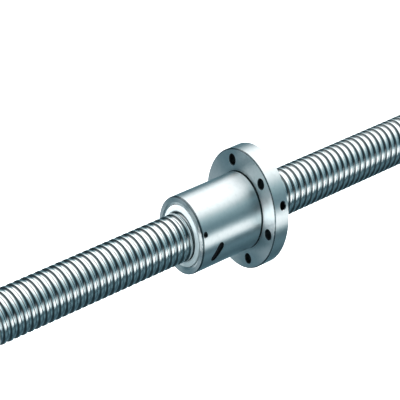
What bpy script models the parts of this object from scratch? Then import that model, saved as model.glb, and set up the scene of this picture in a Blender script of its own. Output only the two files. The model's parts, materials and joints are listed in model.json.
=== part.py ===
"""Ball screw assembly: a right-hand rolled-in steel screw and a flanged ball nut with
internal single-turn recirculation, two wiper rings and the wiper's set screw.

Frame: origin on the screw axis at the flange's mounting face, +X along the screw from the
nut's plain nose towards its flange, +Z through the first bolt hole, +Z up. Metres.
Angles (phi) turn from +Z towards -Y, which is the right-hand sense about +X.
"""

import math
from collections import namedtuple

import bmesh
import bpy
from mathutils import Matrix, Vector

MM = 0.001

# ---- driving dimensions: millimetres, and degrees for angles ----
# A thread groove: its land and root radii, and its half widths along x at the land and root.
Groove = namedtuple("Groove", "land_r root_r half floor_half")

LEAD = 5.0
GROOVE_AT_TOP = -1.306        # x of one groove centre at phi = 0
BALL_CIRCLE_R = 12.8
BALL_R = 1.55                 # the nominal ball is 1.5875, the rest is running clearance

SCREW_R = 12.5
SCREW_GROOVE = Groove(land_r=SCREW_R, root_r=11.1, half=1.72, floor_half=0.85)
SCREW_STEPS = 14              # facets round the screw
THREAD_X0, THREAD_X1 = -196.0, 171.0
NECK_R = 10.0
SEAT_END_X = 195.0
DRIVE_R = 7.5
RIGHT_END_X = 218.0
LEFT_END_X = -RIGHT_END_X
END_CHAMFER = 1.0

NUT_R = 20.0
NUT_FRONT_X = -50.0
NUT_NOSE_CHAMFER = 0.4
NUT_GROOVE = Groove(land_r=12.9, root_r=14.5, half=1.78, floor_half=0.95)
NUT_STEPS = 24                # facets round the raceway
NUT_BLANK_BORE_R = SCREW_R - 1.0   # inside the raceway's land, which opens it out
UNDERCUT_R = 19.3
UNDERCUT_WIDTH = 1.2
UNDERCUT_DEPTH = 0.3          # how far it also bites into the flange
MOUNTING_FACE_R = 20.2
FLANGE_R = 31.0
FLANGE_BACK_X = 12.0
FLANGE_CHAMFER = 0.6
REVOLVE_STEPS = 48
REVOLVE_START = 1.7           # keeps the facets' corners off those of the holes

FRONT_SEAT_X = -44.3
REAR_SEAT_X = 8.0
WIPER_SEAT_R = 16.15
WIPER_GAP = 0.3               # to the seat's wall and floor
WIPER_R = WIPER_SEAT_R - WIPER_GAP
WIPER_BORE_R = 12.85
WIPER_FACE_INSET = 0.1

BOLT_COUNT = 6
BOLT_CIRCLE_R = 25.5
BOLT_HOLE_R = 2.75
BOLT_HOLE_SIDES = 16

LUBE_PHI = 90.0
LUBE_X = 7.4
LUBE_R = 2.3
LUBE_SIDES = 16
LUBE_FLOOR_R = 23.0
LUBE_PASSAGE_X = 6.3
LUBE_PASSAGE_R = 1.0
LUBE_PASSAGE_SIDES = 10

SET_SCREW_PHI = 90.0
SET_SCREW_X = -46.9
SET_SCREW_HOLE_R = 1.5
SET_SCREW_R = 1.28
SET_SCREW_SIDES = 14
SET_SCREW_TIP_R = WIPER_SEAT_R
SET_SCREW_TOP_R = 19.1
HEX_R = 0.78                  # to the hexagon's corners
HEX_DEPTH = 1.3

BALLS_PER_CIRCUIT = 24
PATH_STEPS = 1440             # straight steps that measure one circuit's length
CROSSING_HALF = 25.0          # degrees either side of the deflector's middle
CROSSING_HALF_X = LEAD / 2 - LEAD * CROSSING_HALF / 360
CROSSING_SLANT = math.degrees(  # how far the crossing leans off the way round
    math.atan2(CROSSING_HALF_X, BALL_CIRCLE_R * math.sin(math.radians(CROSSING_HALF)))
)
LIFT_R = 1.65                 # distance the ball centre keeps from the land's edge while crossing
POCKET_HALF_WIDTH = 2.75
POCKET_HALF_LENGTH = 5.6
POCKET_BOTTOM_R = 9.0
POCKET_TOP_R = 16.9
SLOT_HALF_WIDTH = 2.45
SLOT_HALF_LENGTH = 3.35
SLOT_SLANT = 36.5             # how far the slot leans off the way round
SLOT_BOTTOM_R = 14.0
STADIUM_SIDES = 16            # sides of the circle that pockets and slots are drawn out from
DEFLECTOR_GAP = 0.28
DEFLECTOR_INNER_R = 13.0
DEFLECTOR_BORE_HALF = 12.0    # half length of the cutter that hollows a deflector
DEFLECTOR_BORE_SIDES = 48
KEY_BOTTOM_R = 16.0
KEY_TOP_R = 18.8
CHANNEL_R = 1.75
CHANNEL_REACH = 50.0          # degrees the ball channel runs either side of the middle
CHANNEL_STEP = 5.0            # degrees
CHANNEL_RESOLUTION = 4        # the curve's bevel resolution
CHANNEL_SIDES = 2 * CHANNEL_RESOLUTION + 4

CUT_OVERSHOOT = 1.0           # how far a cutter runs past the surface it opens
SMOOTH_ANGLE = 35.0


def land_x(phi, turn):
    """The x of the screw land's middle at this angle, just past this turn of the groove."""
    return round(GROOVE_AT_TOP + LEAD * (turn + phi / 360 + 0.5), 2)


# each circuit's tag, and the angle and x of its deflector's middle
CIRCUITS = (
    ("1", 125.0, land_x(125.0, -8)),
    ("2", 305.0, land_x(305.0, -5)),
)

# ---- finishes ----
STEEL = dict(color=(0.55, 0.60, 0.62), metallic=1.0, roughness=0.25)
GROUND = dict(color=(0.50, 0.54, 0.56), metallic=1.0, roughness=0.30)
BEARING = dict(color=(0.72, 0.75, 0.77), metallic=1.0, roughness=0.08)
WHITE_PLASTIC = dict(color=(0.85, 0.86, 0.86), metallic=0.0, roughness=0.45)
DARK_PLASTIC = dict(color=(0.03, 0.035, 0.04), metallic=0.0, roughness=0.5)
BLACK_STEEL = dict(color=(0.06, 0.065, 0.07), metallic=1.0, roughness=0.4)


# ---- scene and objects ----
def clear_scene():
    for old in list(bpy.data.objects):
        bpy.data.objects.remove(old, do_unlink=True)


def new_collection(name, hidden):
    group = bpy.data.collections.new(name)
    bpy.context.scene.collection.children.link(group)
    group.hide_render = hidden
    return group


clear_scene()
PARTS = new_collection("ball_screw_assembly", hidden=False)
CUTTERS = new_collection("cutters", hidden=True)


def new_material(name, color, metallic, roughness):
    material = bpy.data.materials.new(name)
    material.use_nodes = True
    shader = material.node_tree.nodes["Principled BSDF"]
    shader.inputs["Base Color"].default_value = (*color, 1.0)
    shader.inputs["Metallic"].default_value = metallic
    shader.inputs["Roughness"].default_value = roughness
    material.diffuse_color = (*color, 1.0)
    return material


def new_object(shape, name, group):
    """Turns a finished bmesh into an object with its normals out."""
    bmesh.ops.recalc_face_normals(shape, faces=shape.faces[:])
    mesh = bpy.data.meshes.new(name)
    shape.to_mesh(mesh)
    shape.free()
    thing = bpy.data.objects.new(name, mesh)
    group.objects.link(thing)
    return thing


def add_helper(shape, name):
    """A hidden body that is cut from a part or joined to it."""
    helper = new_object(shape, name, CUTTERS)
    helper.hide_render = True
    helper.display_type = "WIRE"
    return helper


def smooth(part, angle):
    part.data.shade_smooth()
    part.data.set_sharp_from_angle(angle=math.radians(angle))


def add_part(shape, name, finish, smooth_angle=SMOOTH_ANGLE):
    """A visible part with a material of its own, named after it."""
    part = new_object(shape, name, PARTS)
    smooth(part, smooth_angle)
    part.data.materials.append(new_material(name, **finish))
    return part


def evaluated_mesh(thing):
    bpy.context.view_layer.update()
    graph = bpy.context.evaluated_depsgraph_get()
    return bpy.data.meshes.new_from_object(thing.evaluated_get(graph))


def add_carved_part(blank, name, finish, cuts, joins=()):
    """Applies the unions, then the cuts, so the part is one plain closed mesh."""
    part = add_part(blank, name, finish)
    steps = [("UNION", helper) for helper in joins]
    steps += [("DIFFERENCE", helper) for helper in cuts]
    for operation, helper in steps:
        modifier = part.modifiers.new(operation.lower(), "BOOLEAN")
        modifier.operation = operation
        modifier.object = helper
        modifier.solver = "EXACT"
    mesh = evaluated_mesh(part)
    part.modifiers.clear()
    blank_mesh = part.data
    part.data = mesh
    bpy.data.meshes.remove(blank_mesh)
    mesh.name = name
    smooth(part, SMOOTH_ANGLE)


# ---- shapes ----
def radial(phi):
    """Unit vectors at this angle: outwards, and along increasing phi."""
    angle = math.radians(phi)
    return (
        Vector((0.0, -math.sin(angle), math.cos(angle))),
        Vector((0.0, -math.cos(angle), -math.sin(angle))),
    )


def at(x, r, phi):
    """The point at this x, radius and angle, in metres."""
    return (Vector((x, 0.0, 0.0)) + radial(phi)[0] * r) * MM


def revolved(profile):
    """Spins a closed profile of (x, r) about the screw axis."""
    shape = bmesh.new()
    verts = [shape.verts.new(at(x, r, REVOLVE_START)) for x, r in profile]
    edges = [shape.edges.new(pair) for pair in zip(verts, verts[1:] + verts[:1])]
    bmesh.ops.spin(
        shape,
        geom=verts + edges,
        cent=(0, 0, 0),
        axis=(1, 0, 0),
        dvec=(0, 0, 0),
        angle=2 * math.pi,
        steps=REVOLVE_STEPS,
        use_merge=False,
        use_duplicate=False,
    )
    bmesh.ops.remove_doubles(shape, verts=shape.verts[:], dist=1e-6)
    return shape


def cylinder(radius, length, sides, matrix):
    shape = bmesh.new()
    bmesh.ops.create_cone(
        shape,
        cap_ends=True,
        segments=sides,
        radius1=radius * MM,
        radius2=radius * MM,
        depth=length * MM,
        matrix=matrix,
    )
    return shape


def axial_rod(x0, x1, radius, sides):
    """A cylinder on the screw axis."""
    middle = Matrix.Translation(((x0 + x1) / 2 * MM, 0, 0))
    return cylinder(radius, x1 - x0, sides, middle @ Matrix.Rotation(math.pi / 2, 4, "Y"))


def peg(x, phi, r_from, r_to, radius, sides):
    """A cylinder that stands out from the axis at this x and angle."""
    out, along = radial(phi)
    matrix = Matrix((along.cross(out), along, out)).transposed().to_4x4()
    matrix.translation = at(x, (r_from + r_to) / 2, phi)
    return cylinder(radius, r_to - r_from, sides, matrix)


def stadium(x, phi, slant, half_length, half_width, r_from, r_to):
    """A round-ended bar that stands out from the axis and leans this much off the way round."""
    on_centre = 1e-7
    shape = bmesh.new()
    out, along = radial(phi)
    lean = math.radians(slant)
    lengthwise = along * math.cos(lean) - Vector((math.sin(lean), 0, 0))
    sideways = lengthwise.cross(out)
    # a circle pulled apart at its middle, then stood up
    bmesh.ops.create_circle(
        shape, cap_ends=True, segments=STADIUM_SIDES, radius=half_width * MM
    )
    for vert in shape.verts:
        if abs(vert.co.x) > on_centre:
            vert.co.x += math.copysign(half_length, vert.co.x) * MM
    middle = [vert for vert in shape.verts if abs(vert.co.x) < on_centre]
    bmesh.ops.dissolve_verts(shape, verts=middle)
    matrix = Matrix((lengthwise, sideways, out)).transposed().to_4x4()
    matrix.translation = at(x, r_from, phi)
    bmesh.ops.transform(shape, matrix=matrix, verts=shape.verts[:])
    grown = bmesh.ops.extrude_face_region(shape, geom=shape.faces[:])
    bmesh.ops.translate(
        shape,
        vec=out * (r_to - r_from) * MM,
        verts=[item for item in grown["geom"] if isinstance(item, bmesh.types.BMVert)],
    )
    return shape


def groove_radius(offset, groove):
    """The thread's radius at this distance along x from a groove centre."""
    away = abs((offset + LEAD / 2) % LEAD - LEAD / 2)
    if away <= groove.floor_half:
        return groove.root_r
    if away >= groove.half:
        return groove.land_r
    share = (groove.land_r - groove.root_r) * (away - groove.floor_half)
    return groove.root_r + share / (groove.half - groove.floor_half)


def threaded_rod(x0, x1, groove, steps, grow=1.0, left=(), right=()):
    """A rod with a helical groove between x0 and x1, and plain turned rings of (x, r) at
    its ends. The thread's radii are multiplied by grow."""
    # spare turns at both ends, so every column has all its points before it is clamped
    turns = range(
        math.floor((x0 - GROOVE_AT_TOP) / LEAD) - 2,
        math.ceil((x1 - GROOVE_AT_TOP) / LEAD) + 2,
    )
    profile = [
        (-groove.half, groove.land_r),
        (-groove.floor_half, groove.root_r),
        (groove.floor_half, groove.root_r),
        (groove.half, groove.land_r),
    ]
    columns = []
    for step in range(steps + 1):
        start = GROOVE_AT_TOP + LEAD * step / steps
        column = list(left)
        for turn in turns:
            for offset, r in profile:
                x = start + LEAD * turn + offset
                held = min(max(x, x0), x1)
                if held != x:
                    r = groove_radius(held - start, groove)
                column.append((held, r * grow))
        columns.append(column + list(right))

    # a flat grid, from -1 to 1 both ways, wrapped round the axis
    shape = bmesh.new()
    last_row = len(columns[0]) - 1
    bmesh.ops.create_grid(shape, x_segments=last_row, y_segments=steps, size=1.0)
    for vert in shape.verts:
        row = round((vert.co.x + 1) / 2 * last_row)
        step = round((vert.co.y + 1) / 2 * steps)
        x, r = columns[step][row]
        vert.co = at(x, r, 360 * step / steps)
    bmesh.ops.remove_doubles(shape, verts=shape.verts[:], dist=2e-7)
    bmesh.ops.dissolve_degenerate(shape, dist=1e-7, edges=shape.edges[:])
    rims = [edge for edge in shape.edges if edge.is_boundary]
    bmesh.ops.holes_fill(shape, edges=rims, sides=0)
    return shape


# ---- ball circuits ----
def path_point(psi, phi, x):
    """The ball centre's place at psi degrees past a deflector's middle, round one closed circuit."""
    psi = (psi + 180) % 360 - 180
    if abs(psi) >= CROSSING_HALF:
        turned = psi if psi > 0 else psi + 360
        return at(x - LEAD / 2 + LEAD * turned / 360, BALL_CIRCLE_R, phi + psi)
    offset = -CROSSING_HALF_X * psi / CROSSING_HALF
    beyond = max(0.0, abs(offset) - (LEAD / 2 - SCREW_GROOVE.half))
    lifted_r = SCREW_R + math.sqrt(max(0.0, LIFT_R**2 - beyond**2))
    return at(x + offset, max(BALL_CIRCLE_R, lifted_r), phi + psi)


def pocket_bar(phi, x, gap=0.0):
    """The bar along the ball crossing, made smaller by the gap at its sides and top."""
    return stadium(
        x, phi, CROSSING_SLANT, POCKET_HALF_LENGTH, POCKET_HALF_WIDTH - gap,
        POCKET_BOTTOM_R, POCKET_TOP_R - gap,
    )


def slot_bar(phi, x, r_from, r_to, gap=0.0):
    """The bar along the outer slot, made narrower by the gap."""
    return stadium(
        x, phi, SLOT_SLANT, SLOT_HALF_LENGTH, SLOT_HALF_WIDTH - gap, r_from, r_to
    )


def add_channel_cutter(tag, phi, x):
    """The ball channel through a deflector, with a short way along the raceway at both ends."""
    name = f"cut_channel_{tag}"
    curve = bpy.data.curves.new(name, "CURVE")
    curve.dimensions = "3D"
    # the tube's flats, not its corners, lie at the channel's radius
    curve.bevel_depth = CHANNEL_R / math.cos(math.pi / CHANNEL_SIDES) * MM
    curve.bevel_resolution = CHANNEL_RESOLUTION
    curve.use_fill_caps = True
    count = int(2 * CHANNEL_REACH / CHANNEL_STEP) + 1
    spline = curve.splines.new("POLY")
    spline.points.add(count - 1)
    for index, point in enumerate(spline.points):
        psi = -CHANNEL_REACH + CHANNEL_STEP * index
        point.co = (*path_point(psi, phi, x), 1.0)
    holder = bpy.data.objects.new(name + "_curve", curve)
    CUTTERS.objects.link(holder)
    shape = bmesh.new()
    shape.from_mesh(evaluated_mesh(holder))
    bmesh.ops.remove_doubles(shape, verts=shape.verts[:], dist=1e-6)
    bpy.data.objects.remove(holder, do_unlink=True)
    return add_helper(shape, name)


def build_deflector(tag, phi, x):
    """A bar in the nut's pocket, with a key that fills the slot above it."""
    key = slot_bar(phi, x, KEY_BOTTOM_R, KEY_TOP_R, DEFLECTOR_GAP)
    bore = axial_rod(
        x - DEFLECTOR_BORE_HALF,
        x + DEFLECTOR_BORE_HALF,
        DEFLECTOR_INNER_R / math.cos(math.pi / DEFLECTOR_BORE_SIDES),
        DEFLECTOR_BORE_SIDES,
    )
    add_carved_part(
        pocket_bar(phi, x, DEFLECTOR_GAP),
        f"deflector_{tag}",
        DARK_PLASTIC,
        cuts=[
            add_helper(bore, f"cut_deflector_bore_{tag}"),
            add_channel_cutter(tag, phi, x),
        ],
        joins=[add_helper(key, f"join_key_{tag}")],
    )


def build_balls(tag, phi, x):
    """Balls at even steps of path length, the first at the deflector's middle."""
    path = [path_point(360 * i / PATH_STEPS, phi, x) for i in range(PATH_STEPS + 1)]
    lengths = [0.0]
    for start, end in zip(path, path[1:]):
        lengths.append(lengths[-1] + (end - start).length)
    spacing = lengths[-1] / BALLS_PER_CIRCUIT
    place = 0
    for index in range(BALLS_PER_CIRCUIT):
        wanted = spacing * index
        while lengths[place + 1] < wanted:
            place += 1
        share = (wanted - lengths[place]) / (lengths[place + 1] - lengths[place])
        centre = path[place].lerp(path[place + 1], share)
        ball = bmesh.new()
        bmesh.ops.create_icosphere(ball, subdivisions=2, radius=BALL_R * MM)
        bmesh.ops.translate(ball, vec=centre, verts=ball.verts[:])
        add_part(ball, f"ball_{tag}_{index + 1:02d}", BEARING, smooth_angle=180.0)


# ---- screw ----
def build_screw():
    left_end = [
        (LEFT_END_X, NECK_R - END_CHAMFER),
        (LEFT_END_X + END_CHAMFER, NECK_R),
        (THREAD_X0, NECK_R),
    ]
    right_end = [
        (THREAD_X1, NECK_R),
        (SEAT_END_X, NECK_R),
        (SEAT_END_X, DRIVE_R),
        (RIGHT_END_X - END_CHAMFER, DRIVE_R),
        (RIGHT_END_X, DRIVE_R - END_CHAMFER),
    ]
    shaft = threaded_rod(
        THREAD_X0, THREAD_X1, SCREW_GROOVE, SCREW_STEPS, left=left_end, right=right_end
    )
    add_part(shaft, "screw_shaft", GROUND)


# ---- nut with its integral flange ----
def nut_blank():
    return revolved([
        (NUT_FRONT_X, WIPER_SEAT_R),
        (NUT_FRONT_X, NUT_R - NUT_NOSE_CHAMFER),
        (NUT_FRONT_X + NUT_NOSE_CHAMFER, NUT_R),
        (-UNDERCUT_WIDTH, NUT_R),
        (-UNDERCUT_WIDTH, UNDERCUT_R),
        (UNDERCUT_DEPTH, UNDERCUT_R),
        (0.0, MOUNTING_FACE_R),
        (0.0, FLANGE_R - FLANGE_CHAMFER),
        (FLANGE_CHAMFER, FLANGE_R),
        (FLANGE_BACK_X - FLANGE_CHAMFER, FLANGE_R),
        (FLANGE_BACK_X, FLANGE_R - FLANGE_CHAMFER),
        (FLANGE_BACK_X, WIPER_SEAT_R),
        (REAR_SEAT_X, WIPER_SEAT_R),
        (REAR_SEAT_X, NUT_BLANK_BORE_R),
        (FRONT_SEAT_X, NUT_BLANK_BORE_R),
        (FRONT_SEAT_X, WIPER_SEAT_R),
    ])


def bolt_hole(phi):
    hole = axial_rod(
        -CUT_OVERSHOOT, FLANGE_BACK_X + CUT_OVERSHOOT, BOLT_HOLE_R, BOLT_HOLE_SIDES
    )
    half_side = Matrix.Rotation(math.pi / BOLT_HOLE_SIDES, 3, "X")
    bmesh.ops.rotate(hole, cent=(0, 0, 0), matrix=half_side, verts=hole.verts[:])
    bmesh.ops.translate(hole, vec=at(0.0, BOLT_CIRCLE_R, phi), verts=hole.verts[:])
    return hole


def raceway():
    """The threaded bore, grown so that its flats lie at the groove's radii."""
    return threaded_rod(
        FRONT_SEAT_X - CUT_OVERSHOOT,
        REAR_SEAT_X + CUT_OVERSHOOT,
        NUT_GROOVE,
        NUT_STEPS,
        grow=1 / math.cos(math.pi / NUT_STEPS),
    )


def build_nut():
    lube_port = peg(
        LUBE_X, LUBE_PHI, LUBE_FLOOR_R, FLANGE_R + CUT_OVERSHOOT, LUBE_R, LUBE_SIDES
    )
    lube_passage = peg(
        LUBE_PASSAGE_X, LUBE_PHI, SCREW_R, LUBE_FLOOR_R + CUT_OVERSHOOT,
        LUBE_PASSAGE_R, LUBE_PASSAGE_SIDES,
    )
    set_screw_hole = peg(
        SET_SCREW_X, SET_SCREW_PHI, WIPER_R - CUT_OVERSHOOT, NUT_R + CUT_OVERSHOOT,
        SET_SCREW_HOLE_R, SET_SCREW_SIDES,
    )
    cuts = [
        add_helper(bolt_hole(360 * index / BOLT_COUNT), f"cut_bolt_{index}")
        for index in range(BOLT_COUNT)
    ]
    cuts += [
        add_helper(lube_port, "cut_lube_port"),
        add_helper(lube_passage, "cut_lube_passage"),
        add_helper(set_screw_hole, "cut_set_screw"),
    ]
    for tag, phi, x in CIRCUITS:
        slot = slot_bar(phi, x, SLOT_BOTTOM_R, NUT_R + CUT_OVERSHOOT)
        cuts.append(add_helper(pocket_bar(phi, x), f"cut_pocket_{tag}"))
        cuts.append(add_helper(slot, f"cut_slot_{tag}"))
    cuts.append(add_helper(raceway(), "cut_raceway"))
    add_carved_part(nut_blank(), "nut_body", STEEL, cuts)


# ---- wiper rings and their set screw ----
def build_wiper(name, x0, x1):
    profile = [(x0, WIPER_BORE_R), (x0, WIPER_R), (x1, WIPER_R), (x1, WIPER_BORE_R)]
    add_part(revolved(profile), name, WHITE_PLASTIC)


def build_set_screw():
    """The set screw with its hexagon socket."""
    socket = peg(
        SET_SCREW_X, SET_SCREW_PHI, SET_SCREW_TOP_R - HEX_DEPTH,
        SET_SCREW_TOP_R + CUT_OVERSHOOT, HEX_R, sides=6,
    )
    body = peg(
        SET_SCREW_X, SET_SCREW_PHI, SET_SCREW_TIP_R, SET_SCREW_TOP_R,
        SET_SCREW_R, SET_SCREW_SIDES,
    )
    add_carved_part(body, "wiper_set_screw", BLACK_STEEL, [add_helper(socket, "cut_hex")])


build_screw()
build_nut()
build_wiper("front_wiper", NUT_FRONT_X + WIPER_FACE_INSET, FRONT_SEAT_X - WIPER_GAP)
build_wiper("rear_wiper", REAR_SEAT_X + WIPER_GAP, FLANGE_BACK_X - WIPER_FACE_INSET)
build_set_screw()
for circuit in CIRCUITS:
    build_deflector(*circuit)
    build_balls(*circuit)
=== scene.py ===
"""Looks of a ball screw assembly: threaded shaft, flanged nut, two plastic wipers, and two circuits
of balls, each with its own deflector.

Scene units are metres and the screw's axis is X. The nut's flange is towards +X and its long
barrel towards -X. Sizes are in millimetres unless a comment says otherwise. An angle round the
screw is in degrees: 0 is straight up (+Z) and 90 is level on the camera's side (-Y).
"""

import json
import math

import bmesh
import bpy
import numpy as np
from mathutils import Matrix, Vector

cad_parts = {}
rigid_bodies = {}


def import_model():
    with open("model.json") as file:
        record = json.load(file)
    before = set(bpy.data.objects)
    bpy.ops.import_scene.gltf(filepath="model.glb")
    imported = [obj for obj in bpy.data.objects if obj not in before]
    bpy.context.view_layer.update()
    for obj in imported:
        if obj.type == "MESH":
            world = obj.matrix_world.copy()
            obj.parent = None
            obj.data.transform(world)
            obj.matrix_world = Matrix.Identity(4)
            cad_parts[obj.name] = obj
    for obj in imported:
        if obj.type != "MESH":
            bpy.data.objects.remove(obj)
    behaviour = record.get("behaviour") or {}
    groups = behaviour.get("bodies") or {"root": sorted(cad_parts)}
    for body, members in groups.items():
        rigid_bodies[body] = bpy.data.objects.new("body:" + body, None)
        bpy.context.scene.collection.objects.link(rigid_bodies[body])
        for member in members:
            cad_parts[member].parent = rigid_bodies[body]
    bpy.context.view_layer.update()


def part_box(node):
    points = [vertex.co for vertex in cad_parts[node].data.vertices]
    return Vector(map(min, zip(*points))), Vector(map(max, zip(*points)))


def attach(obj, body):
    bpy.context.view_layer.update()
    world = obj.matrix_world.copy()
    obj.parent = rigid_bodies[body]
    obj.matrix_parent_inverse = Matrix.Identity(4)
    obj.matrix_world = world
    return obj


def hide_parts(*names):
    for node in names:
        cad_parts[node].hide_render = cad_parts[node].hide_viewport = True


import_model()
MM = 0.001

# ---- thread ----
LEAD = 5.0
GROOVE_AT_TOP = -1.306  # x of a groove's middle at angle 0
BALL_CIRCLE_R = 12.8
BALL_R = 1.5875
GROOVE_ARC_R = 1.651
ARC_SHIFT = 0.045  # how far each arc of the gothic arch stands off the middle
EDGE_BREAK = 0.16
EDGE_START = 0.35  # the arc stops this share of the edge break short of the land
EDGE_BEND = (0.45, 0.72)  # a bend in the broken edge: share of the way along x, and of the way up
SCREW_R = 12.5
THREAD_X0, THREAD_X1 = -196.0, 171.0

# ---- nut ----
NUT_R = 20.0
FLANGE_R = 31.0
NUT_BORE_R = 12.95
TURNED_STEPS = 192
SEAM_ANGLE = 30.7  # between two bolt holes, as a cut across the seam could leave a skin
BOLT_COUNT = 6
BOLT_CIRCLE_R = 25.5
BOLT_CUTTER_TURN = 0.03  # radians about the hole's own axis
SIDE = 90.0  # the lubrication port and the set screw are on the camera's side
LUBE_PORT_X = 7.4
LUBE_PASSAGE_X = 6.3
SET_SCREW_X = -46.9

# ---- ball circuits: tag, angle and x of the crossing's middle ----
CIRCUITS = (("1", 125.0, -37.07), ("2", 305.0, -19.57))
BALLS_PER_CIRCUIT = 24
CROSSING_HALF = 25.0  # degrees from the crossing's middle to where the path joins the groove
CROSSING_SHIFT = LEAD / 2 - LEAD * CROSSING_HALF / 360  # what the path gains in x over that half
CROSSING_SLANT = math.degrees(
    math.atan2(CROSSING_SHIFT, BALL_CIRCLE_R * math.sin(math.radians(CROSSING_HALF)))
)
LIFT_R = 1.65  # the path climbs over the land on an arc of this radius
LIFT_START = LEAD / 2 - 1.72  # offset in x beyond which that arc falls
CHANNEL_R = 1.74
CHANNEL_HALF = 50.0  # degrees
CHANNEL_STEP = 2.5  # degrees

# ---- deflectors: a slanted body with a key across it, in a pocket with a slot ----
BODY_HALF_LENGTH, BODY_HALF_WIDTH = 5.6, 2.5
KEY_HALF_LENGTH, KEY_HALF_WIDTH = 3.35, 2.2
KEY_SLANT = 36.5  # degrees
POCKET_GAP = 0.25  # all round the widths
DEFLECTOR_INNER_R = 13.03

COLLECTION = bpy.data.collections.new("looks")
bpy.context.scene.collection.children.link(COLLECTION)
CUTTERS = bpy.data.collections.new("looks_cutters")
bpy.context.scene.collection.children.link(CUTTERS)


# ---------------------------------------------------------------- places
def radial(phi):
    """Unit vectors at this angle: outwards, and the way the angle grows."""
    angle = math.radians(phi)
    return (
        Vector((0.0, -math.sin(angle), math.cos(angle))),
        Vector((0.0, -math.cos(angle), -math.sin(angle))),
    )


def at(x, radius, phi):
    angle = math.radians(phi)
    return Vector((x * MM, -radius * math.sin(angle) * MM, radius * math.cos(angle) * MM))


def standing(x, phi):
    """Places a shape with z outwards at this x and angle, its z = 0 on the screw axis."""
    out, along = radial(phi)
    turn = Matrix((along.cross(out), along, out)).transposed().to_4x4()
    turn.translation = Vector((x * MM, 0, 0))
    return turn


def along_axis(x, y, z):
    """Places a shape with its z along +X."""
    turn = Matrix.Rotation(math.pi / 2, 4, "Y")
    turn.translation = Vector((x, y, z)) * MM
    return turn


# ---------------------------------------------------------------- mesh helpers
def smooth(obj, angle=30.0):
    obj.data.shade_smooth()
    obj.data.set_sharp_from_angle(angle=math.radians(angle))


def new_object(name, shape, where=COLLECTION, angle=30.0):
    bmesh.ops.recalc_face_normals(shape, faces=shape.faces[:])
    mesh = bpy.data.meshes.new(name)
    shape.to_mesh(mesh)
    shape.free()
    made = bpy.data.objects.new(name, mesh)
    where.objects.link(made)
    smooth(made, angle)
    return made


def cutter(name, shape):
    return new_object(name, shape, CUTTERS)


def spin(shape, places, closed, axis, steps):
    """Turns a line through these places once about an axis through the origin."""
    verts = [shape.verts.new(place) for place in places]
    ends = verts + verts[:1] if closed else verts
    edges = [shape.edges.new(pair) for pair in zip(ends, ends[1:])]
    bmesh.ops.spin(
        shape, geom=verts + edges, cent=(0, 0, 0), axis=axis, dvec=(0, 0, 0),
        angle=2 * math.pi, steps=steps, use_merge=False, use_duplicate=False,
    )
    bmesh.ops.remove_doubles(shape, verts=shape.verts[:], dist=1e-6)


def fill_rims(shape):
    rims = [edge for edge in shape.edges if edge.is_boundary]
    bmesh.ops.holes_fill(shape, edges=rims, sides=0)


def revolved(points, start=0.0):
    """Spins a closed profile of (x, radius) about the screw axis."""
    shape = bmesh.new()
    spin(shape, [at(x, radius, start) for x, radius in points], True, (1, 0, 0), TURNED_STEPS)
    return shape


def turned(points, steps, matrix):
    """Spins a profile of (height, radius) about its own z, fills both ends, puts it in place."""
    shape = bmesh.new()
    spin(shape, [(radius * MM, 0, z * MM) for z, radius in points], False, (0, 0, 1), steps)
    fill_rims(shape)
    bmesh.ops.transform(shape, matrix=matrix, verts=shape.verts[:])
    return shape


def rounded(points, steps=3):
    """A closed profile of (x, radius, corner radius) with its corners rounded."""
    profile = []
    count = len(points)
    for i, (x, y, corner) in enumerate(points):
        if corner <= 0:
            profile.append((x, y))
            continue
        here = Vector((x, y))
        before = Vector(points[i - 1][:2]) - here
        after = Vector(points[(i + 1) % count][:2]) - here
        back = before.normalized()
        ahead = after.normalized()
        half = math.acos(max(-1, min(1, back.dot(ahead)))) / 2
        reach = min(corner / math.tan(half), before.length * 0.45, after.length * 0.45)
        centre = here + (back + ahead).normalized() * reach / math.cos(half)
        first, last = here + back * reach, here + ahead * reach
        for k in range(steps + 1):
            spoke = first.lerp(last, k / steps) - centre
            place = centre + spoke.normalized() * (reach * math.tan(half))
            profile.append((place.x, place.y))
    return profile


def stadium(x, phi, slant, half_length, half_width, r_from, r_to, arc=12):
    """A round-ended bar standing out from the axis, leaning this much off the way round.

    half_length runs from the middle to the centre of each round end.
    """
    shape = bmesh.new()
    out, along = radial(phi)
    lean = math.radians(slant)
    lengthwise = along * math.cos(lean) - Vector((math.sin(lean), 0, 0))
    sideways = lengthwise.cross(out)
    base = Vector((x * MM, 0, 0)) + out * r_from * MM
    verts = []
    for end in (1, -1):
        for k in range(arc + 1):
            angle = -math.pi / 2 + math.pi * k / arc
            length = end * (half_length + half_width * math.cos(angle))
            side = end * half_width * math.sin(angle)
            verts.append(shape.verts.new(base + (lengthwise * length + sideways * side) * MM))
    shape.faces.new(verts)
    grown = bmesh.ops.extrude_face_region(shape, geom=shape.faces[:])
    bmesh.ops.translate(
        shape, vec=out * (r_to - r_from) * MM,
        verts=[item for item in grown["geom"] if isinstance(item, bmesh.types.BMVert)],
    )
    return shape


def evaluated_mesh(obj):
    bpy.context.view_layer.update()
    graph = bpy.context.evaluated_depsgraph_get()
    return bpy.data.meshes.new_from_object(obj.evaluated_get(graph))


def apply_booleans(obj, cuts, joins=()):
    for other, operation in [(j, "UNION") for j in joins] + [(c, "DIFFERENCE") for c in cuts]:
        modifier = obj.modifiers.new(operation.lower(), "BOOLEAN")
        modifier.operation = operation
        modifier.object = other
        modifier.solver = "EXACT"
    mesh = evaluated_mesh(obj)
    obj.modifiers.clear()
    old = obj.data
    obj.data = mesh
    bpy.data.meshes.remove(old)
    mesh.name = obj.name


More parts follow.
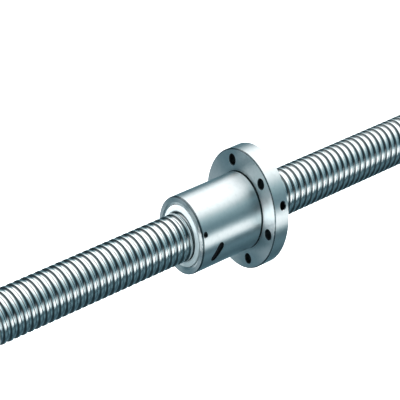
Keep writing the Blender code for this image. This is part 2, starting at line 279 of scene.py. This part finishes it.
def true_normals(obj, radii, tolerance=0.02):
    """Gives round outside faces and flat turned faces their true normals.

    Cut-outs and rounded edges then leave no dents in the shine.
    """
    mesh = obj.data
    smooth(obj)
    normals = [Vector(corner.vector) for corner in mesh.corner_normals]
    for polygon in mesh.polygons:
        if abs(polygon.normal.x) > 0.9995:
            for index in polygon.loop_indices:
                normals[index] = Vector((math.copysign(1.0, polygon.normal.x), 0, 0))
            continue
        for index in polygon.loop_indices:
            place = mesh.vertices[mesh.loops[index].vertex_index].co
            radius = math.hypot(place.y, place.z)
            if radius <= 0 or min(abs(radius / MM - want) for want in radii) > tolerance:
                continue
            out = Vector((0, place.y / radius, place.z / radius))
            if out.dot(polygon.normal) > 0.995:
                normals[index] = out
    mesh.normals_split_custom_set(normals)


# ---------------------------------------------------------------- thread
def groove_profile(land_r, sign, half_points):
    """Half a gothic arch with a broken edge, from its middle out, as (distance, radius).

    sign is 1 for a groove in the screw and -1 for one in the nut.
    """
    centre_r = BALL_CIRCLE_R + sign * ARC_SHIFT
    edge = math.sqrt(GROOVE_ARC_R**2 - (centre_r - land_r) ** 2) - ARC_SHIFT
    points = []
    stop = edge - EDGE_BREAK * EDGE_START
    for k in range(half_points + 1):
        away = stop * math.sin(math.pi / 2 * k / half_points)
        drop = math.sqrt(GROOVE_ARC_R**2 - (away + ARC_SHIFT) ** 2)
        points.append((away, centre_r - sign * drop))
    last, last_r = points[-1]
    bend, rise = EDGE_BEND
    points.append((last + (edge + EDGE_BREAK - last) * bend, last_r + (land_r - last_r) * rise))
    points.append((edge + EDGE_BREAK, land_r))
    return points


def threaded_rod(x0, x1, land_r, sign, steps, left=(), right=(), lands=2, half_points=7):
    """A thread from x0 to x1 with closed ends; left and right add plain (x, radius) ends."""
    points = groove_profile(land_r, sign, half_points)
    known = np.array([point[0] for point in points] + [LEAD / 2])
    known_r = np.array([point[1] for point in points] + [land_r])

    def radius_at(offset):
        """Radius at any distance from a groove's middle."""
        away = abs((offset + LEAD / 2) % LEAD - LEAD / 2)
        return float(np.interp(away, known, known_r))

    pitch = [(-away, radius) for away, radius in reversed(points[1:])] + list(points)
    widest = points[-1][0]
    for k in range(1, lands + 1):
        pitch.append((widest + (LEAD - 2 * widest) * k / (lands + 1), land_r))
    turns = range(
        math.floor((x0 - GROOVE_AT_TOP) / LEAD) - 2, math.ceil((x1 - GROOVE_AT_TOP) / LEAD) + 2
    )

    # one column of stations at each step round, moved along by the lead
    rows = len(left) + len(right) + len(pitch) * len(turns)
    stations = np.zeros((steps + 1, rows, 2))
    for step in range(steps + 1):
        start = GROOVE_AT_TOP + LEAD * step / steps
        column = list(left)
        for turn in turns:
            for offset, radius in pitch:
                x = start + LEAD * turn + offset
                held = min(max(x, x0), x1)
                if held != x:
                    radius = radius_at(held - start)
                column.append((held, radius))
        column += list(right)
        stations[step] = column

    # a flat grid, wrapped round the axis
    shape = bmesh.new()
    bmesh.ops.create_grid(shape, x_segments=rows - 1, y_segments=steps, size=1.0)
    for vert in shape.verts:
        row = round((vert.co.x + 1) / 2 * (rows - 1))
        step = round((vert.co.y + 1) / 2 * steps)
        x, radius = stations[step, row]
        vert.co = at(x, radius, 360 * step / steps)
    bmesh.ops.remove_doubles(shape, verts=shape.verts[:], dist=2e-7)
    fill_rims(shape)
    return shape


# ---------------------------------------------------------------- shader nodes
class Nodes:
    """Adds nodes to one shader tree. Each input is a plain value or another node's output."""

    def __init__(self, tree):
        self.tree = tree

    def fill(self, node, inputs):
        for slot, value in inputs.items():
            if isinstance(value, bpy.types.NodeSocket):
                self.tree.links.new(value, node.inputs[slot])
            else:
                node.inputs[slot].default_value = value

    def add(self, kind, inputs=None, **settings):
        node = self.tree.nodes.new("ShaderNode" + kind)
        for name, value in settings.items():
            setattr(node, name, value)
        self.fill(node, inputs or {})
        return node

    def math(self, operation, *values):
        return self.add("Math", dict(enumerate(values)), operation=operation).outputs[0]

    def vector_math(self, operation, inputs):
        return self.add("VectorMath", inputs, operation=operation)

    def split(self, vector):
        return self.add("SeparateXYZ", {0: vector}).outputs

    def combine(self, *values):
        return self.add("CombineXYZ", dict(enumerate(values))).outputs[0]

    def noise(self, vector, scale, detail=3.0, roughness=0.5, distortion=0.0):
        inputs = {
            "Scale": scale, "Detail": detail, "Roughness": roughness,
            "Distortion": distortion, "Vector": vector,
        }
        return self.add("TexNoise", inputs).outputs["Fac"]

    def ramp(self, value, stops):
        """A colour ramp of (place, colour)."""
        node = self.add("ValToRGB", {0: value})
        elements = node.color_ramp.elements
        while len(elements) > 1:
            elements.remove(elements[-1])
        for index, (place, color) in enumerate(stops):
            element = elements[0] if index == 0 else elements.new(place)
            element.position = place
            element.color = (*color, 1.0)
        return node.outputs[0]

    def fade(self, value, start, end, low=0.0, high=1.0, kind="SMOOTHSTEP"):
        """Goes from low to high as the value goes from start to end."""
        inputs = {
            "From Min": start, "From Max": end, "To Min": low, "To Max": high, "Value": value,
        }
        return self.add("MapRange", inputs, interpolation_type=kind).outputs[0]

    def panel(self, value, start, full, fading, gone, level):
        """Rises from start to full, and falls from fading to gone."""
        rise = self.fade(value, start, full)
        return self.math("MULTIPLY", rise, self.fade(value, fading, gone, level, 0.0))

    def bump(self, height, strength, distance):
        inputs = {"Strength": strength, "Distance": distance, "Height": height}
        return self.add("Bump", inputs).outputs[0]

    def object_normal_x(self, normal):
        facing = self.add(
            "VectorTransform", {0: normal},
            vector_type="NORMAL", convert_from="WORLD", convert_to="OBJECT",
        )
        return self.split(facing.outputs[0])[0]


def new_material(name):
    made = bpy.data.materials.new(name)
    made.use_nodes = True
    return made, Nodes(made.node_tree), made.node_tree.nodes["Principled BSDF"]


# ---------------------------------------------------------------- materials
FLAT_FROM = 0.96  # a face is a flat turned one when this much of its normal is along the axis
STEEL_BUMP = 0.00002  # metres
PLASTIC_BUMP = 0.00003  # metres
SPREAD_TURN = 0.25  # turns the drawn-out shine across the tool lines


def turned_steel(name, color, dark, side, line_mm, bump, face=None, spread=0.85, wall_shade=None):
    """Turned or ground steel: fine circular tool lines, patchy polish, a little grime.

    side and face are (low, high) roughness on round and on flat turned surfaces, and face is the
    same as side when left out; spread draws the shine out. wall_shade is (from, to, share): off the
    flat faces, where the normal leans this far to either end, the colour keeps only this share, a
    painted shade that darkens the steep walls of the thread's grooves.
    """
    made, nodes, shader = new_material(name)
    coord = nodes.add("TexCoord").outputs["Object"]
    x, y, z = nodes.split(coord)
    angle = nodes.math("ARCTAN2", y, z)
    squares = nodes.math("ADD", nodes.math("MULTIPLY", y, y), nodes.math("MULTIPLY", z, z))
    radius = nodes.math("SQRT", squares)
    fineness = 1000.0 / line_mm
    line_place = nodes.combine(
        nodes.math("MULTIPLY", x, fineness),
        nodes.math("MULTIPLY", angle, 1.2),
        nodes.math("MULTIPLY", radius, fineness),
    )
    lines = nodes.noise(line_place, scale=1.0, detail=4.0, roughness=0.6)
    patches = nodes.noise(coord, scale=90.0, detail=4.0, roughness=0.55, distortion=0.4)
    grime = nodes.noise(coord, scale=420.0, roughness=0.6)
    mixed = nodes.math(
        "ADD", nodes.math("MULTIPLY", patches, 0.6), nodes.math("MULTIPLY", lines, 0.4)
    )
    geometry = nodes.add("NewGeometry")
    facing = nodes.object_normal_x(geometry.outputs["True Normal"])
    flat = nodes.math("GREATER_THAN", nodes.math("ABSOLUTE", facing), FLAT_FROM)
    on_side, on_face = (
        nodes.fade(mixed, start=0.3, end=0.7, low=low, high=high, kind="LINEAR")
        for low, high in (side, face or side)
    )
    rough = nodes.add("Mix", {0: flat, 2: on_side, 3: on_face}).outputs[0]
    tone = nodes.ramp(grime, [(0.30, dark), (0.52, color), (1.0, color)])
    # painted shade: where the normal leans towards the axis, the thread's groove walls are darkened
    if wall_shade:
        lean_from, lean_to, share = wall_shade
        lean = nodes.object_normal_x(geometry.outputs["Normal"])
        off_faces = nodes.math("MULTIPLY", nodes.math("LESS_THAN", flat, 0.5), 1.0)
        lean = nodes.math("MULTIPLY", nodes.math("ABSOLUTE", lean), off_faces)
        left = nodes.fade(lean, lean_from, lean_to, low=1.0, high=share)
        tone = nodes.vector_math("SCALE", {0: tone, "Scale": left}).outputs[0]
    nodes.fill(shader, {
        "Roughness": rough,
        "Base Color": tone,
        "Metallic": 1.0,
        "Normal": nodes.bump(lines, bump, STEEL_BUMP),
        "Tangent": nodes.add("Tangent", direction_type="RADIAL", axis="X").outputs[0],
        "Anisotropic": spread,
        "Anisotropic Rotation": SPREAD_TURN,
    })
    return made


def plastic(name, color, other, rough, bump, shine):
    """Plastic with a fine grain and two broad, close tones."""
    made, nodes, shader = new_material(name)
    coord = nodes.add("TexCoord").outputs["Object"]
    grain = nodes.noise(coord, scale=1400.0, roughness=0.6)
    broad = nodes.noise(coord, scale=160.0)
    nodes.fill(shader, {
        "Base Color": nodes.ramp(broad, [(0.3, other), (0.65, color)]),
        "Roughness": nodes.math("MULTIPLY_ADD", grain, 0.2, rough - 0.1),
        "Specular IOR Level": shine,
        "Normal": nodes.bump(grain, bump, PLASTIC_BUMP),
    })
    return made


STEEL = turned_steel(
    "nut_steel", color=(0.72, 0.765, 0.775), dark=(0.66, 0.71, 0.72),
    side=(0.31, 0.35), face=(0.35, 0.40), line_mm=0.22, bump=0.04, spread=0.93,
)
GROUND = turned_steel(
    "screw_steel", color=(0.72, 0.765, 0.775), dark=(0.64, 0.69, 0.70),
    side=(0.17, 0.22), face=(0.30, 0.36), line_mm=0.16, bump=0.06, spread=0.4,
    # painted shade on the steep groove walls of the thread
    wall_shade=(0.30, 0.66, 0.25),
)
BEARING = turned_steel(
    "ball_steel", color=(0.78, 0.80, 0.81), dark=(0.74, 0.77, 0.78),
    side=(0.03, 0.06), line_mm=0.5, bump=0.02, spread=0.0,
)
# dark: painted shade, a hairline of shade along the nut's broken edges
EDGE_SHADE = turned_steel(
    "edge_shade_steel", color=(0.11, 0.135, 0.145), dark=(0.08, 0.10, 0.11),
    side=(0.25, 0.32), line_mm=0.15, bump=0.1,
)
# near-black: painted shade in the holes, the slots, the wiper seat and the relief under the flange
SHADED_CUT = turned_steel(
    "shaded_cut_steel", color=(0.06, 0.075, 0.08), dark=(0.03, 0.04, 0.045),
    side=(0.35, 0.5), line_mm=0.3, bump=0.3, spread=0.0,
)
BLACK = turned_steel(
    "black_oxide", color=(0.055, 0.06, 0.065), dark=(0.03, 0.033, 0.036),
    side=(0.30, 0.5), line_mm=0.3, bump=0.3, spread=0.0,
)
WHITE = plastic(
    "wiper_plastic", color=(0.80, 0.87, 0.885), other=(0.74, 0.81, 0.825),
    rough=0.42, bump=0.15, shine=0.5,
)
DARK = plastic(
    "deflector_plastic", color=(0.010, 0.012, 0.014), other=(0.006, 0.007, 0.008),
    rough=0.6, bump=0.3, shine=0.12,
)


def finish(obj, material, body, replaced):
    obj.data.materials.clear()
    obj.data.materials.append(material)
    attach(obj, body)
    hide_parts(replaced)


# ---------------------------------------------------------------- screw shaft
# plain ends, as (x, radius)
LEFT_END = [
    (-218.0, 1.2), (-218.0, 8.6), (-217.85, 8.9), (-216.9, 9.85), (-216.6, 10.0),
    (THREAD_X0 - 0.3, 10.0), (THREAD_X0, 10.25),
]
RIGHT_END = [
    (THREAD_X1, 10.25), (THREAD_X1 + 0.3, 10.0), (194.2, 10.0), (194.7, 9.9), (195.0, 9.6),
    (195.0, 7.8), (195.3, 7.5), (216.9, 7.5), (217.9, 6.6), (218.0, 6.3), (218.0, 1.2),
]
screw = new_object(
    "screw_thread",
    threaded_rod(
        THREAD_X0, THREAD_X1, SCREW_R, sign=1, steps=72, left=LEFT_END, right=RIGHT_END
    ),
    angle=38.0,
)
finish(screw, GROUND, "screw", "screw_shaft")

# ---------------------------------------------------------------- nut
# corners as (x, radius, corner radius), with plain rings between to keep the round faces even
BARREL_END = [(-50.0, 16.5, 0.05), (-50.0, NUT_R - 0.4, 0.06), (-49.6, NUT_R, 0.1)]
BARREL_RINGS = np.linspace(-48.8, -2.7, 24)
RELIEF_AND_FLANGE = [
    (-2.2, NUT_R, 0.0), (-1.2, NUT_R, 0.12), (-1.1, 19.3, 0.25), (0.3, 19.3, 0.2),
    (0.0, 20.2, 0.08), (0.0, FLANGE_R - 0.55, 0.12), (0.55, FLANGE_R, 0.2), (1.5, FLANGE_R, 0.0),
]
FLANGE_RINGS = (3.5, 5.5, 7.5, 9.5)
FLANGE_END_AND_BORE = [
    (10.5, FLANGE_R, 0.0), (11.45, FLANGE_R, 0.2), (12.0, FLANGE_R - 0.55, 0.12),
    (12.0, 16.5, 0.15), (11.65, 16.15, 0.1), (8.0, 16.15, 0.0), (8.0, 11.5, 0.0),
    (-44.3, 11.5, 0.0), (-44.3, 16.15, 0.0), (-49.65, 16.15, 0.05),
]
BOLT_PLACES = [radial(360 // BOLT_COUNT * i)[0] * BOLT_CIRCLE_R for i in range(BOLT_COUNT)]
SET_SCREW_PLACE = standing(SET_SCREW_X, SIDE)

# holes in the nut, as (height along the hole, radius)
BOLT_HOLE = [(-1.0, 3.95), (0.2, 2.75), (11.8, 2.75), (13.0, 3.95)]
LUBE_PORT = [(21.5, 0.05), (23.0, 2.2), (30.6, 2.2), (32.0, 3.6)]
LUBE_PASSAGE = [(12.0, 1.0), (24.0, 1.0)]
SET_SCREW_HOLE = [(14.8, 1.42), (19.72, 1.42), (21.0, 2.7)]


def nut_outline():
    outline = rounded(BARREL_END)
    outline += [(x, NUT_R) for x in BARREL_RINGS]
    outline += rounded(RELIEF_AND_FLANGE)
    outline += [(x, FLANGE_R) for x in FLANGE_RINGS]
    return outline + rounded(FLANGE_END_AND_BORE)


def nut_cutters():
    cuts = []
    for index, place in enumerate(BOLT_PLACES):
        matrix = along_axis(0, place.y, place.z) @ Matrix.Rotation(BOLT_CUTTER_TURN, 4, "Z")
        cuts.append(cutter(f"bolt_hole_{index}", turned(BOLT_HOLE, 48, matrix)))
    for name, profile, steps, matrix in (
        ("lube_port", LUBE_PORT, 40, standing(LUBE_PORT_X, SIDE)),
        ("lube_passage", LUBE_PASSAGE, 20, standing(LUBE_PASSAGE_X, SIDE)),
        ("set_screw_hole", SET_SCREW_HOLE, 36, SET_SCREW_PLACE),
    ):
        cuts.append(cutter(name, turned(profile, steps, matrix)))
    for tag, phi, x in CIRCUITS:
        pocket = stadium(
            x, phi, CROSSING_SLANT, BODY_HALF_LENGTH, BODY_HALF_WIDTH + POCKET_GAP, 9.0, 16.9
        )
        cuts.append(cutter(f"pocket_{tag}", pocket))
        slot = stadium(x, phi, KEY_SLANT, KEY_HALF_LENGTH, KEY_HALF_WIDTH + POCKET_GAP, 14.0, 21.0)
        cuts.append(cutter(f"slot_{tag}", slot))
    raceway = threaded_rod(-45.3, 9.0, NUT_BORE_R, sign=-1, steps=48, lands=1, half_points=4)
    cuts.append(cutter("raceway", raceway))
    return cuts


nut = new_object("nut_body_fine", revolved(nut_outline(), SEAM_ANGLE))
apply_booleans(nut, nut_cutters())
true_normals(nut, (NUT_R, FLANGE_R))
finish(nut, STEEL, "nut", "nut_body")

# the cut walls are as drilled and milled, not polished, and get a near-black painted shade, as do
# the wiper seat and the relief; the edge breaks get a dark painted shade
nut.data.materials.append(SHADED_CUT)
nut.data.materials.append(EDGE_SHADE)
POLISHED_SLOT, SHADED_CUT_SLOT, EDGE_SHADE_SLOT = range(3)
# where drilled walls lie: a point on the hole's line, its direction, radius, and from and to
HOLE_WALLS = [(place, Vector((1, 0, 0)), 4.05, -1.0, 13.0) for place in BOLT_PLACES]
HOLE_WALLS += [
    (Vector((LUBE_PORT_X, 0, 0)), radial(SIDE)[0], 2.5, 20.0, 30.7),
    (Vector((SET_SCREW_X, 0, 0)), radial(SIDE)[0], 1.8, 14.0, 19.85),
]


def in_hole(centre, normal):
    for foot, line, radius, low, high in HOLE_WALLS:
        along = (centre - foot).dot(line)
        off = (centre - foot - line * along).length
        if low < along < high and off < radius and abs(normal.dot(line)) < 0.5:
            return True
    return False


def in_deflector_slot(centre, normal, out):
    if not 13.2 < out.length < 19.98 or abs(normal.dot(out.normalized())) >= 0.5:
        return False
    return any(
        out.normalized().dot(radial(phi)[0]) > 0.8 and abs(centre.x - x) < 6
        for _, phi, x in CIRCUITS
    )


def nut_material_slot(centre, normal):
    """The material slot of a face of the nut, from its centre in millimetres and its normal."""
    out = Vector((0, centre.y, centre.z))
    # the gap at the wiper seat and the relief under the flange get painted shade, as the hole and
    # slot walls do
    in_wiper_seat = centre.x < -44.4 and 16.0 < out.length < 16.55 and normal.x > -0.97
    in_relief = -1.17 < centre.x < 0.35 and 19.0 < out.length < 20.1
    if in_hole(centre, normal) or in_wiper_seat or in_relief:
        return SHADED_CUT_SLOT
    if in_deflector_slot(centre, normal, out):
        return SHADED_CUT_SLOT
    # the broken edges get painted shade
    if 0.2 < abs(normal.x) < 0.97 and out.length > 18.9:
        return EDGE_SHADE_SLOT
    return POLISHED_SLOT


for polygon in nut.data.polygons:
    polygon.material_index = nut_material_slot(polygon.center / MM, polygon.normal)

# ---------------------------------------------------------------- wipers
# the front one is at the nut's -X end; corners as (x, radius, corner radius)
WIPERS = {
    "front_wiper": [
        (-44.6, 12.9, 0.1), (-44.6, 15.85, 0.15), (-49.7, 15.85, 0.15), (-49.95, 15.6, 0.1),
        (-50.35, 13.3, 0.25), (-50.05, 12.78, 0.1), (-49.4, 12.66, 0.1), (-48.6, 12.95, 0.1),
    ],
    "rear_wiper": [
        (8.3, 15.9, 0.15), (8.3, 12.9, 0.1), (10.9, 12.95, 0.1), (11.4, 12.66, 0.1),
        (11.9, 12.78, 0.1), (11.98, 13.3, 0.2), (11.9, 15.7, 0.1), (11.75, 15.95, 0.15),
    ],
}
for node_name, profile in WIPERS.items():
    ring = new_object(f"{node_name}_ring", revolved(rounded(profile, 4)), angle=40.0)
    finish(ring, WHITE, "wipers", node_name)

# ---------------------------------------------------------------- set screw
# (distance from the screw axis, radius): point, nine thread stations, socket end
SET_SCREW = [(16.15, 0.7), (16.3, 0.95), (16.6, 1.27)]
SET_SCREW += [(16.7 + 0.25 * k, 1.27 if k % 2 else 1.14) for k in range(9)]
SET_SCREW += [(18.85, 1.27), (19.05, 1.1), (19.1, 0.95)]
HEX_SOCKET = [(17.7, 0.75), (20.5, 0.75)]

hexagon = cutter("hexagon", turned(HEX_SOCKET, 6, SET_SCREW_PLACE))
set_screw = new_object("wiper_set_screw_fine", turned(SET_SCREW, 36, SET_SCREW_PLACE))
apply_booleans(set_screw, [hexagon])
smooth(set_screw, 28.0)
finish(set_screw, BLACK, "nut", "wiper_set_screw")


# ---------------------------------------------------------------- deflectors
def path_point(psi, phi, x):
    """The balls' path at psi degrees from the middle of the crossing at this angle and x."""
    if abs(psi) >= CROSSING_HALF:
        round_by = psi if psi > 0 else psi + 360
        return at(x - LEAD / 2 + LEAD * round_by / 360, BALL_CIRCLE_R, phi + psi)
    offset = -CROSSING_SHIFT * psi / CROSSING_HALF
    beyond = max(0.0, abs(offset) - LIFT_START)
    lift = SCREW_R + math.sqrt(max(0.0, LIFT_R**2 - beyond**2))
    return at(x + offset, max(BALL_CIRCLE_R, lift), phi + psi)


def channel(tag, phi, x):
    """A tube along the balls' path."""
    curve = bpy.data.curves.new(f"channel_{tag}", "CURVE")
    curve.dimensions = "3D"
    curve.bevel_depth = CHANNEL_R * MM
    curve.bevel_resolution = 8
    curve.use_fill_caps = True
    spline = curve.splines.new("POLY")
    count = round(2 * CHANNEL_HALF / CHANNEL_STEP) + 1
    spline.points.add(count - 1)
    for i, point in enumerate(spline.points):
        point.co = (*path_point(-CHANNEL_HALF + CHANNEL_STEP * i, phi, x), 1.0)
    holder = bpy.data.objects.new(f"channel_curve_{tag}", curve)
    CUTTERS.objects.link(holder)
    tube = bmesh.new()
    tube.from_mesh(evaluated_mesh(holder))
    bmesh.ops.remove_doubles(tube, verts=tube.verts[:], dist=1e-6)
    bpy.data.objects.remove(holder, do_unlink=True)
    return tube


def deflector(tag, phi, x):
    tube = channel(tag, phi, x)
    core = bmesh.new()
    bmesh.ops.create_cone(
        core, cap_ends=True, segments=96, radius1=DEFLECTOR_INNER_R * MM,
        radius2=DEFLECTOR_INNER_R * MM, depth=24 * MM, matrix=along_axis(x, 0, 0),
    )
    body = new_object(
        f"deflector_{tag}_fine",
        stadium(x, phi, CROSSING_SLANT, BODY_HALF_LENGTH, BODY_HALF_WIDTH, 9.0, 16.65, arc=16),
    )
    key = cutter(
        f"key_{tag}",
        stadium(x, phi, KEY_SLANT, KEY_HALF_LENGTH, KEY_HALF_WIDTH, 16.0, 18.8, arc=16),
    )
    cuts = [cutter(f"core_{tag}", core), cutter(f"channel_{tag}", tube)]
    apply_booleans(body, cuts, joins=[key])
    smooth(body)
    bevel = body.modifiers.new("edges", "BEVEL")
    bevel.width = 0.12 * MM
    bevel.segments = 2
    bevel.limit_method = "ANGLE"
    bevel.angle_limit = math.radians(50)
    finish(body, DARK, "nut", f"deflector_{tag}")


for circuit in CIRCUITS:
    deflector(*circuit)

# ---------------------------------------------------------------- balls
ball_shape = bmesh.new()
bmesh.ops.create_icosphere(ball_shape, subdivisions=4, radius=BALL_R * MM)
ball_mesh = bpy.data.meshes.new("ball")
ball_shape.to_mesh(ball_mesh)
ball_shape.free()
ball_mesh.shade_smooth()
for tag, _, _ in CIRCUITS:
    for index in range(1, BALLS_PER_CIRCUIT + 1):
        node_name = f"ball_{tag}_{index:02d}"
        low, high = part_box(node_name)
        ball = bpy.data.objects.new(f"{node_name}_fine", ball_mesh.copy())
        COLLECTION.objects.link(ball)
        ball.location = (Vector(low) + Vector(high)) / 2
        finish(ball, BEARING, "nut", node_name)

for used in list(CUTTERS.objects):
    bpy.data.objects.remove(used, do_unlink=True)
bpy.data.collections.remove(CUTTERS)

# ---------------------------------------------------------------- floor
floor_shape = bmesh.new()
bmesh.ops.create_grid(floor_shape, x_segments=8, y_segments=8, size=30.0)
floor_mesh = bpy.data.meshes.new("floor")
floor_shape.to_mesh(floor_mesh)
floor_shape.free()
floor = bpy.data.objects.new("floor", floor_mesh)
COLLECTION.objects.link(floor)
floor.location = (0, 0, -0.22)
floor.visible_glossy = False
floor.visible_diffuse = False
floor.visible_shadow = False  # it doesn't shade the part from the low lamp
paper, paper_nodes, paper_shader = new_material("floor_paper")
paper_nodes.fill(paper_shader, {
    "Base Color": (0.9, 0.9, 0.9, 1),
    "Roughness": 0.9,
    "Emission Color": (1, 1, 1, 1),
    "Emission Strength": 0.9,
})
floor.data.materials.append(paper)


# ---------------------------------------------------------------- lamps
def add_lamp(name, place, size, power, on_metal=False):
    """A disk lamp aimed at the origin, in metres and watts, for mirror-like or for dull looks."""
    data = bpy.data.lights.new(name, "AREA")
    data.shape = "DISK"
    data.size = size
    data.energy = power
    lamp = bpy.data.objects.new(name, data)
    bpy.context.scene.collection.objects.link(lamp)
    lamp.location = place
    lamp.rotation_euler = lamp.location.to_track_quat("Z", "Y").to_euler()
    lamp.visible_glossy = on_metal
    lamp.visible_diffuse = not on_metal
    lamp.visible_camera = False
    return lamp


add_lamp("shoulder_lamp", place=(-0.96, 0.80, 0.99), size=0.7, power=27.0)
add_lamp("front_lamp", place=(-1.30, -0.90, 0.35), size=1.2, power=5.0)

# off the -X end; it lights only the nut, to put the fan of light on its turned faces
face_lamp = add_lamp(
    "face_lamp", place=(-1.42, 0.0, -0.30), size=0.74, power=8.5, on_metal=True
)
face_lamp.light_linking.receiver_collection = bpy.data.collections.new("lit_by_face_lamp")
face_lamp.light_linking.receiver_collection.objects.link(nut)
# its fan shows on the faces themselves, and not again as their mirror image in the nut's side
if hasattr(face_lamp.data, "cycles"):  # only there when the Cycles add-on is on
    face_lamp.data.cycles.use_multiple_importance_sampling = False
face_lamp.data.use_nodes = True
lamp_nodes = Nodes(face_lamp.data.node_tree)
ray_depth = lamp_nodes.add("LightPath").outputs["Ray Depth"]
lamp_nodes.fill(
    face_lamp.data.node_tree.nodes["Emission"],
    {"Strength": lamp_nodes.math("LESS_THAN", ray_depth, 1.5)},
)

# ---------------------------------------------------------------- studio
# Soft panels that run along the screw, each (start, full, fading, gone, level) in degrees round
# the screw axis. The LENGTH ones are the same along the screw, where -1 and 1 look straight
# along it.
BASE = 0.08  # level everywhere
OVERHEAD = (-51, -24, 11, 95, 1.0)
FRONT_FILL = (10, 60, 136, 150, 0.30)
LOW_STRIP = (97, 118, 134, 145, 0.64)
FLOOR_BOUNCE = (154, 160, 164, 174, 0.08)
FLOOR_FILL = (138, 150, 205, 250, 0.20)
REAR_FILL = (-165, -100, -84, -50, 0.33)
DARK_CARD = (143, 149, 155, 161, -0.09)
CAMERA_CARD = (40, 62, 100, 112, BASE)  # a black card: takes the base level away
OVERHEAD_LENGTH = (-1.25, -0.25, 0.88, 1.0, 1.0)
FRONT_LENGTH = (0.1, 0.62, 0.88, 1.0, 1.0)
STRIP_LENGTH = (-0.98, -0.80, 0.88, 1.0, 1.0)
# changes along the screw: start, end, and the share at each
CARD_FADE = (0.2, 0.65, -1.0, 0.0)
FLOOR_FADE = (-0.1, 0.7, 1.0, 0.2)
REAR_FADE = (-0.65, 0.2, 0.3, 1.0)
STRIP_GAIN = (-0.15, -0.5, 0.0, 2.2)  # white added to the low strip towards -X
END_FILL = (0.93, 0.985, 0.0, 0.45)  # straight off both ends of the screw
# a round white spot behind the part (+Y): direction, outer and inner half angle, level
SPOT_TOWARD = Vector((-0.15, 0.98, -0.13)).normalized()
SPOT_OUTER, SPOT_INNER, SPOT_LEVEL = 26.0, 10.0, 1.4
# how bright each level is: cool where the light is weak, white where it is strong
TONES = [
    (0.0, (0.008, 0.022, 0.030)), (BASE, (0.060, 0.120, 0.150)), (0.35, (0.19, 0.33, 0.385)),
    (0.70, (0.59, 0.78, 0.81)), (0.90, (1.10, 1.15, 1.16)), (1.0, (1.75, 1.75, 1.75)),
]
TONE_SCALE = 4.0  # the ramp holds the tones divided by this


def studio_light(nodes):
    """The colour of the surroundings in every direction."""
    coord = nodes.add("TexCoord").outputs["Generated"]
    x, y, z = nodes.split(coord)
    angle = nodes.math("ARCTAN2", nodes.math("MULTIPLY", y, -1.0), z)
    turn = nodes.math("MULTIPLY", angle, 180 / math.pi)
    aligned = nodes.vector_math("DOT_PRODUCT", {1: SPOT_TOWARD, 0: coord}).outputs["Value"]
    spot = nodes.fade(
        aligned, math.cos(math.radians(SPOT_OUTER)), math.cos(math.radians(SPOT_INNER)),
        0.0, SPOT_LEVEL,
    )
    along_strip = nodes.panel(x, *STRIP_LENGTH)

    def low_strip():
        return nodes.math("MULTIPLY", nodes.panel(turn, *LOW_STRIP), along_strip)

    def both(panel, length):
        return nodes.math("MULTIPLY", nodes.panel(turn, *panel), nodes.panel(x, *length))

    def faded(panel, change):
        return nodes.math("MULTIPLY", nodes.panel(turn, *panel), nodes.fade(x, *change))

    parts = [
        both(OVERHEAD, OVERHEAD_LENGTH),
        both(FRONT_FILL, FRONT_LENGTH),
        nodes.math(
            "MULTIPLY_ADD", nodes.panel(turn, *CAMERA_CARD), nodes.fade(x, *CARD_FADE), BASE
        ),
        low_strip(),
        nodes.panel(turn, *FLOOR_BOUNCE),
        nodes.panel(turn, *DARK_CARD),
        nodes.fade(nodes.math("ABSOLUTE", x), *END_FILL),
        faded(FLOOR_FILL, FLOOR_FADE),
        faded(REAR_FILL, REAR_FADE),
    ]
    level = parts[0]
    for part in parts[1:]:
        level = nodes.math("ADD", level, part)
    strip_end = nodes.math("MULTIPLY", low_strip(), nodes.fade(x, *STRIP_GAIN))
    white = nodes.math("ADD", spot, strip_end)
    stops = [(place, tuple(part / TONE_SCALE for part in tone)) for place, tone in TONES]
    toned = nodes.ramp(level, stops)
    scaled = nodes.vector_math("SCALE", {"Scale": TONE_SCALE, 0: toned}).outputs[0]
    added = nodes.combine(white, white, white)
    return nodes.vector_math("ADD", {0: scaled, 1: added}).outputs[0]


world = bpy.data.worlds.new("studio")
bpy.context.scene.world = world
world.use_nodes = True
world_nodes = Nodes(world.node_tree)
surroundings = studio_light(world_nodes)
# the camera itself sees plain white
from_camera = world_nodes.add("LightPath").outputs["Is Camera Ray"]
shown = world_nodes.add(
    "Mix", {7: (1, 1, 1, 1), 0: from_camera, 6: surroundings}, data_type="RGBA"
).outputs[2]
world_nodes.fill(world.node_tree.nodes["Background"], {"Color": shown, "Strength": 1.0})

bpy.context.scene.view_settings.view_transform = "Standard"
bpy.context.scene.view_settings.look = "None"

# ---------------------------------------------------------------- camera
# The picture plane is shifted off the lens's own axis: the camera's axis leans, but its picture
# stays on the plane of RIGHT and UP. The rig's skewed matrix does this.
RIGHT = Vector((0.72411706, -0.66076508, -0.19759554))
UP = Vector((0.58858773, 0.44274274, 0.67641951))
BACK = Vector((-0.3594704, -0.60610922, 0.70951579))
CAMERA_PLACE = Vector((-0.54873699, -0.63409655, 0.13965349))  # metres
LEAN_RIGHT, LEAN_DOWN = 0.02807532, 0.75755163  # of the axis, for each unit along BACK
PLANE_DISTANCE = 98.479557  # from the lens square to the picture plane
SENSOR_WIDTH = 36.0

axis = BACK + RIGHT * LEAN_RIGHT - UP * LEAN_DOWN
columns = [RIGHT, UP, axis.normalized(), CAMERA_PLACE]
lens = bpy.data.cameras.new("camera")
lens.sensor_width = SENSOR_WIDTH
lens.lens = PLANE_DISTANCE * axis.length
lens.clip_start = 0.02
lens.clip_end = 100.0
camera = bpy.data.objects.new("camera", lens)
bpy.context.scene.collection.objects.link(camera)
rig = bpy.data.objects.new("camera_rig", None)
bpy.context.scene.collection.objects.link(rig)
camera.parent = rig
rows = [[column[i] for column in columns] for i in range(3)]
camera.matrix_parent_inverse = Matrix(rows + [[0, 0, 0, 1]])
bpy.context.scene.camera = camera
